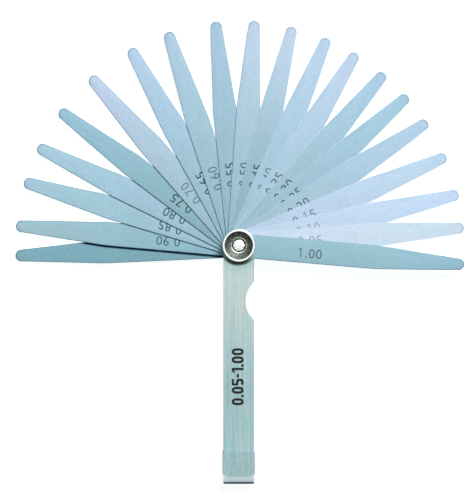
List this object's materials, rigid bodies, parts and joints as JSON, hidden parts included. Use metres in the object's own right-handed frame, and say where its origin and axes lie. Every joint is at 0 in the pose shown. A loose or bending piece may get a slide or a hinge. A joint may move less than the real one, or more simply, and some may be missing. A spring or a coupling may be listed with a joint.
{
  "type": "feeler gauge",
  "caption": "Feeler gauge with tapered steel blades fanned out on one pivot screw, a folded steel case with a thumb notch, and a round knurled lock nut.",
  "frame": {"origin": "centre of the flat face of the pivot screw's head, which the gauge lies on", "axes": "+Z along the pivot axis, from the screw's head to the lock nut; +Y away from the case, in the middle of the fan; +X to the right, on the thumb notch's side"},
  "size_m": [0.1896, 0.1951, 0.0174],
  "materials": {
    "case_steel": "brushed along its length",
    "screw_steel": "turned, bright",
    "washer_steel": "satin",
    "nut_chrome": "polished",
    "blade_steel": "satin, bluish spring steel"
  },
  "bodies": {
    "handle": {"case": "case_steel", "pivot_screw": "screw_steel"},
    "blade_0_95": {"blade_0_95": "blade_steel"},
    "blade_0_90": {"blade_0_90": "blade_steel"},
    "blade_0_85": {"blade_0_85": "blade_steel"},
    "blade_0_80": {"blade_0_80": "blade_steel"},
    "blade_0_75": {"blade_0_75": "blade_steel"},
    "blade_0_70": {"blade_0_70": "blade_steel"},
    "blade_0_65": {"blade_0_65": "blade_steel"},
    "blade_0_60": {"blade_0_60": "blade_steel"},
    "blade_0_55": {"blade_0_55": "blade_steel"},
    "blade_0_50": {"blade_0_50": "blade_steel"},
    "blade_0_45": {"blade_0_45": "blade_steel"},
    "blade_0_40": {"blade_0_40": "blade_steel"},
    "blade_0_35": {"blade_0_35": "blade_steel"},
    "blade_0_30": {"blade_0_30": "blade_steel"},
    "blade_0_25": {"blade_0_25": "blade_steel"},
    "blade_0_20": {"blade_0_20": "blade_steel"},
    "blade_0_15": {"blade_0_15": "blade_steel"},
    "blade_0_10": {"blade_0_10": "blade_steel"},
    "blade_0_05": {"blade_0_05": "blade_steel"},
    "blade_1_00": {"blade_1_00": "blade_steel"},
    "washer": {"nut_washer": "washer_steel"},
    "nut": {"lock_nut": "nut_chrome"}
  },
  "joints": [
    {"name": "blade_0_95_hinge", "type": "hinge", "parent": "handle", "child": "blade_0_95", "pos_m": [0, 0, 0.00269], "axis": [0, 0, 1], "range_deg": [-272.6, 87.4]},
    {"name": "blade_0_90_hinge", "type": "hinge", "parent": "handle", "child": "blade_0_90", "pos_m": [0, 0, 0.00364], "axis": [0, 0, 1], "range_deg": [-264.9, 95.1]},
    {"name": "blade_0_85_hinge", "type": "hinge", "parent": "handle", "child": "blade_0_85", "pos_m": [0, 0, 0.00453], "axis": [0, 0, 1], "range_deg": [-253.5, 106.5]},
    {"name": "blade_0_80_hinge", "type": "hinge", "parent": "handle", "child": "blade_0_80", "pos_m": [0, 0, 0.00538], "axis": [0, 0, 1], "range_deg": [-243.9, 116.1]},
    {"name": "blade_0_75_hinge", "type": "hinge", "parent": "handle", "child": "blade_0_75", "pos_m": [0, 0, 0.00617], "axis": [0, 0, 1], "range_deg": [-233, 127]},
    {"name": "blade_0_70_hinge", "type": "hinge", "parent": "handle", "child": "blade_0_70", "pos_m": [0, 0, 0.00692], "axis": [0, 0, 1], "range_deg": [-221.3, 138.7]},
    {"name": "blade_0_65_hinge", "type": "hinge", "parent": "handle", "child": "blade_0_65", "pos_m": [0, 0, 0.00762], "axis": [0, 0, 1], "range_deg": [-208.8, 151.2]},
    {"name": "blade_0_60_hinge", "type": "hinge", "parent": "handle", "child": "blade_0_60", "pos_m": [0, 0, 0.00826], "axis": [0, 0, 1], "range_deg": [-198.4, 161.6]},
    {"name": "blade_0_55_hinge", "type": "hinge", "parent": "handle", "child": "blade_0_55", "pos_m": [0, 0, 0.00886], "axis": [0, 0, 1], "range_deg": [-185.9, 174.1]},
    {"name": "blade_0_50_hinge", "type": "hinge", "parent": "handle", "child": "blade_0_50", "pos_m": [0, 0, 0.0094], "axis": [0, 0, 1], "range_deg": [-176, 184]},
    {"name": "blade_0_45_hinge", "type": "hinge", "parent": "handle", "child": "blade_0_45", "pos_m": [0, 0, 0.00989], "axis": [0, 0, 1], "range_deg": [-166.2, 193.8]},
    {"name": "blade_0_40_hinge", "type": "hinge", "parent": "handle", "child": "blade_0_40", "pos_m": [0, 0, 0.01034], "axis": [0, 0, 1], "range_deg": [-156.9, 203.1]},
    {"name": "blade_0_35_hinge", "type": "hinge", "parent": "handle", "child": "blade_0_35", "pos_m": [0, 0, 0.01073], "axis": [0, 0, 1], "range_deg": [-148.6, 211.4]},
    {"name": "blade_0_30_hinge", "type": "hinge", "parent": "handle", "child": "blade_0_30", "pos_m": [0, 0, 0.01108], "axis": [0, 0, 1], "range_deg": [-139.8, 220.2]},
    {"name": "blade_0_25_hinge", "type": "hinge", "parent": "handle", "child": "blade_0_25", "pos_m": [0, 0, 0.01137], "axis": [0, 0, 1], "range_deg": [-131.5, 228.5]},
    {"name": "blade_0_20_hinge", "type": "hinge", "parent": "handle", "child": "blade_0_20", "pos_m": [0, 0, 0.01162], "axis": [0, 0, 1], "range_deg": [-123.2, 236.8]},
    {"name": "blade_0_15_hinge", "type": "hinge", "parent": "handle", "child": "blade_0_15", "pos_m": [0, 0, 0.01182], "axis": [0, 0, 1], "range_deg": [-113.2, 246.8]},
    {"name": "blade_0_10_hinge", "type": "hinge", "parent": "handle", "child": "blade_0_10", "pos_m": [0, 0, 0.01196], "axis": [0, 0, 1], "range_deg": [-103.1, 256.9]},
    {"name": "blade_0_05_hinge", "type": "hinge", "parent": "handle", "child": "blade_0_05", "pos_m": [0, 0, 0.01205], "axis": [0, 0, 1], "range_deg": [-94.5, 265.5]},
    {"name": "blade_1_00_hinge", "type": "hinge", "parent": "handle", "child": "blade_1_00", "pos_m": [0, 0, 0.0126], "axis": [0, 0, 1], "range_deg": [-85.1, 274.9]},
    {"name": "nut_lift", "type": "slide", "parent": "handle", "child": "washer", "axis": [0, 0, 1], "range_m": [0, 0.0006]},
    {"name": "nut_turn", "type": "hinge", "parent": "washer", "child": "nut", "pos_m": [0, 0, 0.01592], "axis": [0, 0, 1], "range_deg": [0, 270]}
  ],
  "couplings": [
    {"joint": "nut_turn", "follows": "nut_lift", "rad_per_m": 7853.9}
  ]
}
